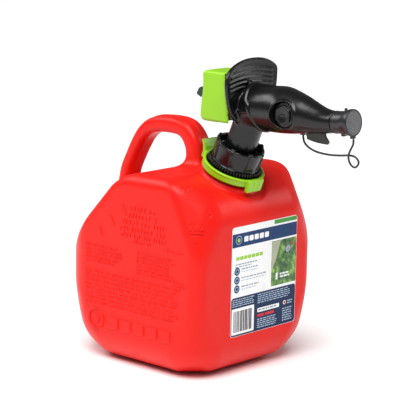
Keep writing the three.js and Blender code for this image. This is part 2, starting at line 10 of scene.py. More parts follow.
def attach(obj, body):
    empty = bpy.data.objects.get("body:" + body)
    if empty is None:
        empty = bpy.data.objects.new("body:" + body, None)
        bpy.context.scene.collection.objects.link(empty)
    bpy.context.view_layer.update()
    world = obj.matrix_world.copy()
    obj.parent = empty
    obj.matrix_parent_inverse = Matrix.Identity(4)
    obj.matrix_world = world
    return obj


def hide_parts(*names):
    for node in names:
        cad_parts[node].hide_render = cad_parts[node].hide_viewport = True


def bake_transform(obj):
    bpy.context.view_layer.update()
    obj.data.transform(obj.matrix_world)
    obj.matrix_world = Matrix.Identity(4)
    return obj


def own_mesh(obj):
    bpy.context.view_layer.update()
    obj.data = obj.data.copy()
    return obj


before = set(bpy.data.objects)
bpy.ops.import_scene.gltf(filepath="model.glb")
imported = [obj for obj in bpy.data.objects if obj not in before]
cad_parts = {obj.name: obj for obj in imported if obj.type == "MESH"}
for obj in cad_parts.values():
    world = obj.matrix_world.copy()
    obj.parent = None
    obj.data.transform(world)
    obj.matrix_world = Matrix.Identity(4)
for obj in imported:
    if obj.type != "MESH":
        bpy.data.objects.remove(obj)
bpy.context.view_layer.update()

# Shapes are worked out in millimetres, +X to the front and +Z up, and become metres when a mesh is made.
MM = 0.001


def new_object(name, data):
    thing = bpy.data.objects.new(name, data)
    bpy.context.scene.collection.objects.link(thing)
    return thing


# ---- The camera ----
CAMERA_AZIMUTH = math.radians(42.16)   # from the -Y side round towards the front
CAMERA_HEIGHT_ANGLE = math.radians(11.25)
CAMERA_ROLL = math.radians(1.13)
CAMERA_PLACE = Vector((1242.96, -1362.08, 521.25)) * MM
CAMERA_LENS = 173.74
SENSOR_WIDTH = 36
CLIP_END = 20                          # metres


def make_camera():
    a, e, roll = CAMERA_AZIMUTH, CAMERA_HEIGHT_ANGLE, CAMERA_ROLL
    back = Vector((math.sin(a) * math.cos(e), -math.cos(a) * math.cos(e), math.sin(e)))
    level = (-back).cross(Vector((0, 0, 1))).normalized()
    above = level.cross(-back)
    right = math.cos(roll) * level + math.sin(roll) * above
    up = math.cos(roll) * above - math.sin(roll) * level
    data = bpy.data.cameras.new("camera")
    data.lens = CAMERA_LENS
    data.sensor_width = SENSOR_WIDTH
    data.clip_end = CLIP_END
    camera = new_object("camera", data)
    turn = Matrix((right, up, back)).transposed().to_4x4()
    camera.matrix_world = Matrix.Translation(CAMERA_PLACE) @ turn
    bpy.context.scene.camera = camera


make_camera()


# ---- Materials ----
CLOUD_SCALE, PATCH_SCALE, WAVE_SCALE = 28, 60, 45      # of colour, gloss and waviness, per metre
SPECK_SCALE, LEAF_SCALE, FLOOR_SCALE = 900, 160, 0.6
NOISE_LOW, NOISE_HIGH = 0.3, 0.7       # the part of a noise's range that is used
GLOSS_SPREAD = 0.04
GRAIN_STRENGTH, WAVE_STRENGTH = 0.35, 0.5


class Surface:
    """A material being made, with the nodes that the materials share."""

    def __init__(self, name):
        self.material = bpy.data.materials.new(name)
        self.material.use_nodes = True
        self.nodes = self.material.node_tree.nodes
        self.link = self.material.node_tree.links.new
        self.shader = self.nodes["Principled BSDF"].inputs

    def noise(self, scale, detail):
        """A noise in object space."""
        coordinates = self.nodes.new("ShaderNodeTexCoord")
        texture = self.nodes.new("ShaderNodeTexNoise")
        texture.inputs["Scale"].default_value = scale
        texture.inputs["Detail"].default_value = detail
        self.link(coordinates.outputs["Object"], texture.inputs["Vector"])
        return texture.outputs["Fac"]

    def roughen(self, source, low, high):
        """Roughness from low to high over the used part of a noise's range."""
        stretch = self.nodes.new("ShaderNodeMapRange")
        sockets = ("From Min", "From Max", "To Min", "To Max")
        for socket, value in zip(sockets, (NOISE_LOW, NOISE_HIGH, low, high)):
            stretch.inputs[socket].default_value = value
        self.link(source, stretch.inputs["Value"])
        self.link(stretch.outputs["Result"], self.shader["Roughness"])

    def paint(self, source, *stops):
        """Base colour that follows a noise through stops of (position, colour)."""
        ramp = self.nodes.new("ShaderNodeValToRGB")
        elements = ramp.color_ramp.elements
        for element, (position, colour) in zip(elements, (stops[0], stops[-1])):
            element.position = position
            element.color = (*colour, 1)
        for position, colour in stops[1:-1]:
            elements.new(position).color = (*colour, 1)
        self.link(source, ramp.inputs["Fac"])
        self.link(ramp.outputs["Color"], self.shader["Base Color"])

    def bump(self, source, strength, depth):
        bump = self.nodes.new("ShaderNodeBump")
        bump.inputs["Strength"].default_value = strength
        bump.inputs["Distance"].default_value = depth * MM
        self.link(source, bump.inputs["Height"])
        return bump


def plastic(name, colour, rough, grain=1400, grain_depth=0.02, mottle=0.1, gloss=0.5, wave_depth=0):
    """Moulded plastic: mottled, unevenly glossy and finely grained, and wavy on blown walls. Depths in mm."""
    surface = Surface(name)
    darker = [c * (1 - mottle) for c in colour]
    lighter = [min(1, c * (1 + mottle)) for c in colour]
    surface.paint(surface.noise(CLOUD_SCALE, 4), (NOISE_LOW, darker), (NOISE_HIGH, lighter))
    surface.roughen(surface.noise(PATCH_SCALE, 3), rough - GLOSS_SPREAD, rough + GLOSS_SPREAD)
    bump = surface.bump(surface.noise(grain, 2), GRAIN_STRENGTH, grain_depth)
    if wave_depth:
        slow = surface.bump(surface.noise(WAVE_SCALE, 1), WAVE_STRENGTH, wave_depth)
        surface.link(slow.outputs["Normal"], bump.inputs["Normal"])
    surface.link(bump.outputs["Normal"], surface.shader["Normal"])
    surface.shader["Specular IOR Level"].default_value = gloss
    return surface.material


def ink(name, colour, mottle=0.04):
    """Ink printed on the label's film."""
    return plastic(name, colour, 0.35, grain=2200, grain_depth=0.01, mottle=mottle, gloss=0.2)


def metal(name, colour, rough):
    """Drawn wire and pins: fine specks in the colour and the roughness."""
    surface = Surface(name)
    surface.shader["Metallic"].default_value = 1
    specks = surface.noise(SPECK_SCALE, 2)
    surface.paint(specks, (0, [c * 0.8 for c in colour]), (1, colour))
    surface.roughen(specks, rough - 0.08, rough + 0.08)
    return surface.material


def picture_panel(name):
    """The label's printed picture: blurred leaves and grass in several greens."""
    surface = Surface(name)
    surface.paint(surface.noise(LEAF_SCALE, 5), (0.32, (0.006, 0.03, 0.008)), (0.52, (0.05, 0.17, 0.025)),
                  (0.7, (0.28, 0.5, 0.08)))
    surface.shader["Roughness"].default_value = 0.35
    return surface.material


RED = plastic("red_polyethylene", (0.72, 0.010, 0.006), 0.37, grain=2600, mottle=0.03, gloss=0.2,
              wave_depth=0.5)
GREEN = plastic("lime_plastic", (0.26, 0.56, 0.006), 0.34, grain=1600, mottle=0.03)
BLACK = plastic("black_moulding", (0.004, 0.004, 0.0045), 0.26, gloss=0.4)
COLLAR_BLACK = plastic("black_collar", (0.004, 0.004, 0.0045), 0.17, gloss=0.4)
# Painted shade: the gaps between the collar's teeth are the same black plastic, painted darker and duller to
# stand for the shade in them.
TOOTH_GAP_SHADE = plastic("tooth_gap_shade", (0.001, 0.001, 0.001), 0.9, gloss=0.1)
HOOK = plastic("hook_moulding", (0.02, 0.027, 0.021), 0.42)
LATCH = plastic("latch_moulding", (0.012, 0.03, 0.018), 0.4)
CAP_GREY = plastic("cap_moulding", (0.012, 0.012, 0.013), 0.34, mottle=0.08)
CAP_END = plastic("cap_end", (0.13, 0.131, 0.135), 0.5, mottle=0.08, gloss=0.3)
TETHER = plastic("tether_moulding", (0.02, 0.02, 0.022), 0.4)
RUBBER = plastic("seal_rubber", (0.03, 0.03, 0.03), 0.7, grain=2500, gloss=0.3)
INNER = plastic("natural_plastic", (0.62, 0.61, 0.56), 0.45, mottle=0.05)
STEEL = metal("spring_steel", (0.6, 0.6, 0.62), 0.3)
MESH_STEEL = metal("arrestor_steel", (0.5, 0.52, 0.54), 0.4)


# ---- Meshes ----
def make(name, points, faces, materials, body, replaces=(), which=None, smooth=True):
    """A mesh object from points in mm. which gives the number of each face's material."""
    mesh = bpy.data.meshes.new(name)
    faces = [list(map(int, face)) for face in faces]
    mesh.from_pydata([tuple(p) for p in np.asarray(points, float) * MM], [], faces)
    mesh.polygons.foreach_set("use_smooth", [smooth] * len(mesh.polygons))
    for material in materials if isinstance(materials, (list, tuple)) else [materials]:
        mesh.materials.append(material)
    if which is not None:
        mesh.polygons.foreach_set("material_index", [int(k) for k in which])
    mesh.validate()
    mesh.update()
    piece = new_object(name, mesh)
    if body:
        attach(piece, body)
    if replaces:
        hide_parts(*replaces)
    return piece


class Parts:
    """Points and faces of several closed solids gathered into one mesh."""

    def __init__(self):
        self.points = []
        self.faces = []
        self.which = []

    def add(self, points, faces, material=0):
        start = len(self.points)
        self.points.extend(np.asarray(points, float).tolist())
        self.faces.extend([[start + int(k) for k in face] for face in faces])
        self.which.extend([material] * len(faces))


# ---- Signed distance fields, in mm ----
def cut(a, b, radius):
    """The part inside both a and b, with the edge between them rounded."""
    beyond = hypot(maximum(a + radius, 0), maximum(b + radius, 0))
    return minimum(-radius, maximum(a, b)) + beyond


def join(a, b, blend):
    """The part inside a or b, with a smooth fillet between them."""
    return minimum(a, b) - maximum(blend - abs(a - b), 0) ** 2 / (4 * blend)


def carve(a, b, radius):
    """a with b taken away."""
    return cut(a, -b, radius)


def any_of(*fields):
    return functools.reduce(minimum, fields)


def all_of(*fields):
    return functools.reduce(maximum, fields)


def only_near(near, elsewhere, field, *coordinates):
    """The field where near is true, and one number elsewhere."""
    value = np.full(np.shape(near), elsewhere)
    if np.any(near):
        value[near] = field(*(c[near] for c in coordinates))
    return value


def slab(value, low, high):
    return maximum(low - value, value - high)


def rounded_box(x, y, z, low, high, radius):
    qx, qy, qz = (abs(v - (l + h) / 2) - (h - l) / 2 for v, l, h in zip((x, y, z), low, high))
    return cut(cut(qx, qy, radius), qz, radius)


def between(before, a, b, after, t):
    """A point on the smooth curve from a to b (t from 0 to 1), given the stations on either side."""
    return 0.5 * (2 * a + (b - before) * t + (2 * before - 5 * a + 4 * b - after) * t ** 2
                  + (3 * a - before - 3 * b + after) * t ** 3)


def curve_values(stations, samples):
    """A smooth curve through the stations, which are rows of numbers."""
    stations = np.asarray(stations, float)
    ends = np.vstack([2 * stations[0] - stations[1], stations, 2 * stations[-1] - stations[-2]])
    rows = []
    per_span = max(2, samples // (len(stations) - 1))
    for k in range(len(stations) - 1):
        for t in np.linspace(0, 1, per_span, endpoint=False):
            rows.append(between(*ends[k:k + 4], t))
    rows.append(stations[-1])
    return np.array(rows)


FAR_OFF = 1e9


def convex(u, v, corners):
    """Distance to a convex outline given anticlockwise."""
    distance = np.full(np.shape(u), -FAR_OFF)
    for (au, av), (bu, bv) in zip(corners, corners[1:] + corners[:1]):
        length = math.hypot(bu - au, bv - av)
        nu, nv = (bv - av) / length, -(bu - au) / length
        distance = maximum(distance, (u - au) * nu + (v - av) * nv)
    return distance


POLISH_ROUNDS = 2        # how often the net's points are moved onto the surface
POLISH_REACH = 0.7       # the furthest that a point may move, in grid steps
SLOPE_STEP = 0.08        # for measuring the field's slope, in grid steps
LEAST_SLOPE = 0.2        # squared


def surface_net(field, low, high, step):
    """Points and quads of the surface where the field is 0."""
    start = np.array(low, float) - step
    counts = [int(math.ceil((h - l) / step)) + 3 for l, h in zip(low, high)]
    axes = [start[k] + step * np.arange(counts[k]) for k in range(3)]
    value = field(*np.meshgrid(*axes, indexing="ij"))
    inside = value < 0
    nx, ny, nz = inside.shape
    count = np.zeros((nx - 1, ny - 1, nz - 1), int)
    for i, j, k in np.ndindex(2, 2, 2):
        count += inside[i:nx - 1 + i, j:ny - 1 + j, k:nz - 1 + k]
    active = (count > 0) & (count < 8)
    number = np.full(active.shape, -1)
    number[active] = np.arange(active.sum())
    cells = np.argwhere(active)
    total = np.zeros((len(cells), 3))
    hits = np.zeros(len(cells))
    for axis in range(3):
        along = np.eye(3, dtype=int)[axis]
        b, c = (axis + 1) % 3, (axis + 2) % 3
        for i, j in np.ndindex(2, 2):
            corner = np.zeros(3, int)
            corner[b], corner[c] = i, j
            one = cells + corner
            two = one + along
            va, vb = value[tuple(one.T)], value[tuple(two.T)]
            crossing = (va < 0) != (vb < 0)
            t = np.where(crossing, va / np.where(crossing, va - vb, 1), 0)
            total += crossing[:, None] * (corner + t[:, None] * along)
            hits += crossing
    points = start + step * (cells + total / hits[:, None])
    quads = []
    for axis in range(3):
        b, c = (axis + 1) % 3, (axis + 2) % 3
        lower = np.take(inside, range(inside.shape[axis] - 1), axis)
        upper = np.take(inside, range(1, inside.shape[axis]), axis)
        for rising in (True, False):
            edges = np.argwhere((lower & ~upper) if rising else (~lower & upper))
            db, dc = np.eye(3, dtype=int)[b], np.eye(3, dtype=int)[c]
            ring = [edges - db - dc, edges - dc, edges, edges - db]
            if not rising:
                ring.reverse()
            quads.append(np.stack([number[tuple(cell.T)] for cell in ring], 1))
    limit = step * POLISH_REACH
    h = step * SLOPE_STEP
    first = points.copy()
    for _ in range(POLISH_ROUNDS):
        x, y, z = points.T
        distance = field(x, y, z)
        slope = np.stack([
            field(x + h, y, z) - field(x - h, y, z),
            field(x, y + h, z) - field(x, y - h, z),
            field(x, y, z + h) - field(x, y, z - h),
        ], 1) / (2 * h)
        size = maximum((slope ** 2).sum(1), LEAST_SLOPE)
        points = points - slope * (distance / size)[:, None]
        points = first + clip(points - first, -limit, limit)
    return points, np.concatenate(quads)


def net_piece(name, field, low, high, step, material, body, node, place=lambda points: points):
    """The field's surface as a piece that stands for a CAD node; place moves it from its own frame."""
    points, quads = surface_net(field, low, high, step)
    make(name, place(points), quads, material, body, [node])


# ---- Turned and swept shapes ----
def bands(rows, columns, closed=False):
    """Quads between rings of points; closed joins the last ring to the first."""
    faces = []
    for row in range(rows if closed else rows - 1):
        below = (row + 1) % rows
        for k in range(columns):
            turn = (k + 1) % columns
            faces.append([row * columns + k, row * columns + turn,
                          below * columns + turn, below * columns + k])
    return faces


def turned(profile, sides, ripple=lambda angles, radius, height: 0):
    """A closed profile [(radius, height)] turned round Z; ripple moves its points outwards."""
    points = []
    angles = np.linspace(0, 2 * math.pi, sides, endpoint=False)
    for radius, height in profile:
        reach = np.full(sides, float(radius)) + ripple(angles, radius, height)
        points.extend(zip(reach * np.cos(angles), reach * np.sin(angles), np.full(sides, float(height))))
    return np.array(points), bands(len(profile), sides, True)


def smooth_path(route, steps):
    return [Vector(p) for p in curve_values(route, steps)]



def tube(points, radius, sides):
    """A closed tube along a path, with round ends."""
    stations = []
    side = None
    last = len(points) - 1
    for k, point in enumerate(points):
        tangent = (points[min(k + 1, last)] - points[max(k - 1, 0)]).normalized()
        if side is None:
            side = tangent.orthogonal().normalized()
        side = (side - tangent * side.dot(tangent)).normalized()
        stations.append((point, tangent, side.copy(), radius))

    def round_end(station, way):
        point, tangent, across, _ = station
        return [(point + tangent * (way * radius * math.sin(t)), tangent, across, radius * math.cos(t))
                for t in (0.45, 0.9, 1.3)]

    stations = round_end(stations[0], -1)[::-1] + stations + round_end(stations[-1], 1)
    rings = []
    for point, tangent, across, reach in stations:
        third = tangent.cross(across)
        for s in range(sides):
            angle = 2 * math.pi * s / sides
            rings.append(point + across * (math.cos(angle) * reach) + third * (math.sin(angle) * reach))
    faces = bands(len(stations), sides)
    faces.append(list(reversed(range(sides))))
    faces.append([(len(stations) - 1) * sides + s for s in range(sides)])
    return [list(p) for p in rings], faces


# ---- Frames of the neck and the cap ----
NECK_TILT = math.radians(22.5)
NECK_ORIGIN = (51.0, 0.0, 193.0)
NOZZLE_TILT = math.radians(5.5)
CAP_ORIGIN = (174.4, 0.0, 251.9)       # on its axis, at its open end


def to_neck(x, y, z):
    """Across, sideways, and along the neck's axis."""
    dx, dz = x - NECK_ORIGIN[0], z - NECK_ORIGIN[2]
    c, s = math.cos(NECK_TILT), math.sin(NECK_TILT)
    return dx * c - dz * s, y, dx * s + dz * c


def from_frame(points, origin, tilt):
    """Points of a frame whose Z axis leans towards +X by tilt, in the object's frame."""
    c, s = math.cos(tilt), math.sin(tilt)
    x = origin[0] + points[:, 0] * c + points[:, 2] * s
    z = origin[2] - points[:, 0] * s + points[:, 2] * c
    return np.stack([x, points[:, 1], z], 1)


def from_neck(points):
    return from_frame(points, NECK_ORIGIN, NECK_TILT)


def from_cap(points):
    """The cap's frame has +Z along the nozzle and +X down."""
    return from_frame(points, CAP_ORIGIN, math.pi / 2 - NOZZLE_TILT)


# ---- The tank ----
TANK_FRONT = 85.0
TANK_BACK = 95.0
TANK_HALF = 84.0
TANK_WALL = 2.9
FACET_CUTS = (39.5, 42, 79)    # how far the front facet cuts back from its corner along x, y and z
FACET_FOOT = 113               # height of its lowest point
FACET_NORMAL = np.array([1 / reach for reach in FACET_CUTS])
FACET_NORMAL /= np.linalg.norm(FACET_NORMAL)
FACET_EDGE, FACET_EDGE_GROWTH = 4.5, 5
BASE_SLANTS = ((-85.6, 46, -1), (81, 37, 1))     # x, z of a slanted base corner and which way it faces
BASE_SLANT_SIDE = 76
BASE_ROUND = 35
HANDLE_HALF_WIDTH = 12.0
HANDLE_EDGE = 6.4
HANDLE_BLEND = 13
HANDLE_PATH = curve_values([    # x, z and half the thickness, from the back foot to the front one
    (-88, 108, 7.5), (-88, 124, 7.3), (-88, 140, 7), (-87.3, 156, 6.9), (-83.6, 175, 6.8),
    (-77, 189, 6.8), (-70, 202, 6.9), (-62, 213.6, 7.1), (-52, 221.4, 7.6), (-41, 224.9, 8),
    (-28, 226.2, 8.2), (-14, 225.8, 8.3), (-4.5, 222.3, 8.6), (3, 214, 9), (6.6, 204, 9.4),
    (7.2, 190, 9.6), (7.2, 172, 9.6),
], 48)
NECK_BORE = 16.5
NECK_RADIUS = 19.4
NECK_RIM = 7.9           # heights along the neck's axis
NECK_ROOT = -14
RING_DISH = 34.0
DISH_FLOOR = -11.5
DISH_SLOPE = 0.47
BOSS_TOP = -7
BOSS_ROOT = -34
FAR = 60.0               # the distance given to a part too far off to matter


def handle_field(x, y, z):
    across = np.full(np.shape(x), FAR_OFF)
    for (ax, az, ah), (bx, bz, bh) in zip(HANDLE_PATH[:-1], HANDLE_PATH[1:]):
        lx, lz = bx - ax, bz - az
        t = clip(((x - ax) * lx + (z - az) * lz) / (lx * lx + lz * lz), 0, 1)
        away = hypot(x - ax - t * lx, z - az - t * lz) - (ah + t * (bh - ah))
        across = minimum(across, away)
    return cut(across, abs(y) - HANDLE_HALF_WIDTH, HANDLE_EDGE)


def body_field(x, y, z):
    """The tank's body: four walls, a deck with a slope before and behind it, and the slanted corners."""
    side = abs(y) - TANK_HALF
    front = cut(x - TANK_FRONT, side, 14)
    back = cut(-TANK_BACK - x, side, 32)
    plan = maximum(front, back)
    deck = z - 190 - 0.026 * (x - 16)
    shoulder = (x - 54) * 0.683 + (z - 191) * 0.730
    chamfer = -(x + 22) * 0.734 + (z - 189) * 0.679
    top = cut(cut(deck, shoulder, 14), chamfer, 16)
    form = cut(plan, top, 12)
    facet = ((x - TANK_FRONT) * FACET_NORMAL[0] + side * FACET_NORMAL[1]
             + (z - FACET_FOOT) * FACET_NORMAL[2])
    form = cut(form, facet, FACET_EDGE + FACET_EDGE_GROWTH * clip((-side - 3) / 8, 0, 1))
    for x_corner, z_corner, way in BASE_SLANTS:
        outwards = way * (x - x_corner) + abs(y) - BASE_SLANT_SIDE
        form = cut(form, 0.655 * outwards - 0.376 * (z - z_corner), 14)
    return cut(form, -z, BASE_ROUND)


def tank_solid(x, y, z):
    """The body with its handle, and the dish and boss round the foot of the neck."""
    form = body_field(x, y, z)
    across, sideways, along = to_neck(x, y, z)
    radius = hypot(across, sideways)
    dish_side = radius - RING_DISH - maximum(along - DISH_FLOOR, 0) * DISH_SLOPE
    form = carve(form, maximum(dish_side, DISH_FLOOR - along) * 0.9, 5)
    grip = only_near((abs(y) < 26) & (z > 95) & (x < 32), FAR, handle_field, x, y, z)
    form = join(form, grip, HANDLE_BLEND)
    flare = interp(along, [BOSS_ROOT, -19, DISH_FLOOR, BOSS_TOP], [42, 38, 28.4, 28.4])
    boss = cut((radius - flare) * 0.85, along - BOSS_TOP, 2.5)
    return join(form, maximum(boss, BOSS_ROOT - along), 3)


def tank_field(x, y, z):
    across, sideways, along = to_neck(x, y, z)
    radius = hypot(across, sideways)
    solid = tank_solid(x, y, z)
    neck = maximum(cut(radius - NECK_RADIUS, along - NECK_RIM, 1), NECK_ROOT - along)
    cavity = solid + TANK_WALL
    bore = maximum(radius - NECK_BORE, -30 - along)
    return maximum(join(solid, neck, 1.5), -minimum(cavity, bore))


net_piece("tank", tank_field, (-99, -84, 0), (85, 84, 236), 1.3, RED, "tank",
          "tank_shell")


# ---- Outlines and plates, for the label and the raised marks ----
def round_about(centre, radius, angle):
    return centre[0] + radius * math.cos(angle), centre[1] + radius * math.sin(angle)


def rounded_outline(low, high, radius, steps=4):
    """Corners of a rectangle with round corners, anticlockwise in (u, v)."""
    corners = [(high[0], low[1], -90), (high[0], high[1], 0), (low[0], high[1], 90), (low[0], low[1], 180)]
    points = []
    for u, v, start in corners:
        cu = u - math.copysign(radius, u - (low[0] + high[0]) / 2)
        cv = v - math.copysign(radius, v - (low[1] + high[1]) / 2)
        for k in range(steps + 1):
            points.append(round_about((cu, cv), radius, math.radians(start + 90 * k / steps)))
    return points


def ring_outline(centre, radius, steps):
    return [round_about(centre, radius, 2 * math.pi * k / steps) for k in range(steps)]


def shrink(outline, amount):
    """An outline drawn in towards its middle by about amount."""
    middle = np.mean(outline, axis=0)
    away = outline - middle
    return middle + away * maximum(0.1, 1 - amount / hypot(*away.T))[:, None]


def prism(parts, layers, material=0):
    """A closed solid through outlines of equal length, each a list of 3-D points, from the bottom up."""
    count = len(layers[0])
    points = [p for layer in layers for p in layer]
    ends = [list(reversed(range(count))), [(len(layers) - 1) * count + k for k in range(count)]]
    parts.add(points, ends + bands(len(layers), count), material)


# ---- The label on the front face ----
LABEL_LOW, LABEL_HIGH = (-37.5, 39.0), (57.0, 145.0)   # (y, z)
LABEL_X = 85.12          # the back of the film, just clear of the tank
FILM_THICKNESS = 0.26
INK = 0.04               # thickness of a printed layer
LABEL_MATERIALS = [
    plastic("label_film", (0.85, 0.86, 0.86), 0.3, grain=2200, grain_depth=0.01, mottle=0.015),
    ink("label_navy", (0.004, 0.02, 0.075)),
    ink("label_blue", (0.004, 0.035, 0.13)),
    ink("label_lime", (0.3, 0.58, 0.03)),
    ink("label_red", (0.6, 0.02, 0.03)),
    ink("label_grey", (0.25, 0.29, 0.33)),
    ink("label_black", (0.02, 0.02, 0.025)),
    picture_panel("label_picture"),
    ink("label_leaf_green", (0.06, 0.3, 0.05), 0.1),
    ink("label_lilac", (0.35, 0.33, 0.6), 0.1),
    ink("label_pale_blue", (0.38, 0.5, 0.62), 0.05),
    ink("label_path", (0.4, 0.42, 0.3), 0.2),
]
WHITE, NAVY, BLUE, LIME, RED_INK, GREY, DARK, LEAVES, LEAF_INK, LILAC, PALE, PATH = range(12)


def label_piece():
    """A film with layers of printed blocks, discs and dashes, and a picture, with no lettering."""
    parts = Parts()

    def plate(outline, low, high, material):
        layers = [[(LABEL_X + h, y, z) for y, z in outline] for h in (low, high)]
        prism(parts, layers, material)

    def inked(outline, layer, material):
        plate(outline, FILM_THICKNESS + INK * (layer - 1), FILM_THICKNESS + INK * layer, material)

    def printed(y0, z0, y1, z1, material, layer=1, radius=0.3):
        inked(rounded_outline((y0, z0), (y1, z1), radius, 2), layer, material)

    def lines(y0, y1, z_top, pitch, count, material, layer, height, seed):
        """Rows of dashes in place of small print."""
        spread_of = np.random.default_rng(seed)
        for row in range(count):
            z = z_top - pitch * row
            stop = y1 - spread_of.uniform(0, 0.12) * (y1 - y0)
            y = y0
            while y < stop - 1.2:
                reach = min(stop, y + spread_of.uniform(1.6, 5.2))
                printed(y, z - height, reach, z, material, layer, 0.25)
                y = reach + 0.9

    def disc(y, z, radius, material, layer):
        inked(ring_outline((y, z), radius, 28), layer, material)

    edge = rounded_outline(LABEL_LOW, LABEL_HIGH, 3, 8)
    plate(edge, 0, FILM_THICKNESS, WHITE)
    printed(23, 140.4, 56.4, 144.4, LEAF_INK)
    printed(-37.2, 125.6, 56.7, 138.6, BLUE)
    printed(20, 79.6, 56.7, 123.8, LEAVES)
    printed(-37.2, 39.3, 56.7, 77, NAVY, radius=2.6)

    for z, radius, material, layer in ((132.3, 4.3, PALE, 2), (132.3, 3.7, BLUE, 3), (132, 2, LIME, 4)):
        disc(-28.2, z, radius, material, layer)
    for k in range(5):
        printed(-20.5 + 7.4 * k, 129.6, -14.6 + 7.4 * k, 134.8, WHITE, 2, 0.9)

    for k in range(7):
        printed(-31.5 + 5.6 * k, 112.8, -26.6 + 5.6 * k, 116.2, LIME, 1, 0.8)
    lines(-32, -1, 109.4, 3.0, 1, GREY, 1, 1.2, 3)
    lines(-32, -6, 106.9, 3.0, 1, GREY, 1, 0.9, 4)
    for z, reach, seed in ((102.2, 4, 5), (93.7, 16, 6), (85.2, 4, 7)):
        for layer, (radius, material) in enumerate(((3.9, BLUE), (2.4, PALE), (1.7, BLUE)), 1):
            disc(-29.7, z, radius, material, layer)
        lines(-23.2, reach, z + 2.2, 2, 1, GREY, 1, 1.2, seed)
        lines(-23.2, reach - 4, z - 0.6, 2, 1, PALE, 1, 0.9, seed + 20)

    inked([(20.3, 94), (27, 106), (33, 123.4), (20.3, 123.4)], 2, PATH)
    disc(44, 113.5, 3.4, LILAC, 2)
    disc(44.6, 113, 1.8, GREY, 3)
    disc(50.5, 117.5, 1.4, RED_INK, 2)
    for y, z in ((40.5, 110.2), (47, 109.8), (41.5, 116.8)):
        disc(y, z, 1.1, DARK, 2)
    printed(27, 85.2, 29.6, 92, WHITE, 2, 0.5)
    lines(33, 48, 91, 2.8, 2, WHITE, 2, 1.7, 9)

    lines(-35.5, -2.5, 75.2, 2.0, 4, PALE, 2, 0.9, 11)
    lines(1, 49, 75.2, 2.0, 5, PALE, 2, 0.9, 12)
    printed(-36.2, 41, -4, 66.4, WHITE, 2, 0.8)
    bars = np.random.default_rng(21)
    y = -33.5
    while y < -7.2:
        thick = bars.choice((0.4, 0.7, 1.1, 1.5))
        printed(y, 43.2, y + thick, 63.6, DARK, 3, 0.1)
        y += thick + bars.choice((0.4, 0.6, 0.9))
    printed(1, 57.4, 33, 61.4, WHITE, 2, 0.8)
    lines(2, 32, 60.2, 2, 1, GREY, 3, 1.4, 13)
    for y0, y1 in ((1, 11), (12.4, 25.5)):
        printed(y0, 52.8, y1, 55.4, RED_INK, 2, 0.5)
    lines(1, 31, 50.8, 2.0, 5, PALE, 2, 0.9, 14)
    disc(41, 60.5, 2.1, WHITE, 2)
    disc(41, 60.5, 1.4, RED_INK, 3)
    lines(45, 53, 62, 2.2, 2, PALE, 2, 1.1, 15)
    lines(38, 53, 55, 2.3, 6, PALE, 2, 1.0, 16)
    make("label", parts.points, parts.faces, LABEL_MATERIALS, "tank", ["front_label"],
         parts.which, False)


# ---- Raised marks on the tank: plain blocks and rings, with no lettering ----
class Wall:
    """A flat stretch of the tank: u across, v up, and out of the wall."""

    def __init__(self, origin, across, up):
        self.origin = Vector(origin)
        self.across = Vector(across).normalized()
        self.up = Vector(up).normalized()
        self.out = self.across.cross(self.up).normalized()

    def at(self, u, v, height):
        return list(self.origin + self.across * u + self.up * v + self.out * height)


FACET_OUT = Vector((1 / FACET_CUTS[0], -1 / FACET_CUTS[1], 1 / FACET_CUTS[2])).normalized()
FACET_ACROSS = Vector((0.684, 0.7295, 0)).normalized()
SIDE_WALL = Wall((0, -TANK_HALF, 0), (1, 0, 0), (0, 0, 1))
FACET_WALL = Wall((76, -74.5, 149), FACET_ACROSS, FACET_OUT.cross(FACET_ACROSS))


MARK_ROOT = -0.6         # how far a mark goes into the wall
RING_ROOT = -0.3
RING_FOOT = 0.05


def raised(parts, wall, outline, height, slope):
    """A raised shape with sloping sides and a softened top edge, rooted in the wall."""
    stages = [(outline, MARK_ROOT), (outline, 0.02), (shrink(outline, slope * 0.7), height * 0.75),
              (shrink(outline, slope * 1.6), height)]
    prism(parts, [[wall.at(u, v, h) for u, v in shape] for shape, h in stages])


def mark_rows(parts, wall, rows, seed, height):
    """Rows (u0, u1, v of the foot, size) of plain blocks in groups."""
    chance = np.random.default_rng(seed)
    for u0, u1, v, size in rows:
        u = u0
        left = int(chance.integers(2, 8))
        while u < u1 - size * 0.5:
            wide = size * chance.uniform(0.45, 0.8)
            tall = size * chance.choice((1.0, 1.0, 0.75))
            outline = rounded_outline((u, v), (min(u + wide, u1), v + tall), size * 0.14, 1)
            raised(parts, wall, outline, height, size * 0.09)
            u += wide + size * 0.28
            left -= 1
            if left == 0:
                u += size * 0.65
                left = int(chance.integers(2, 8))


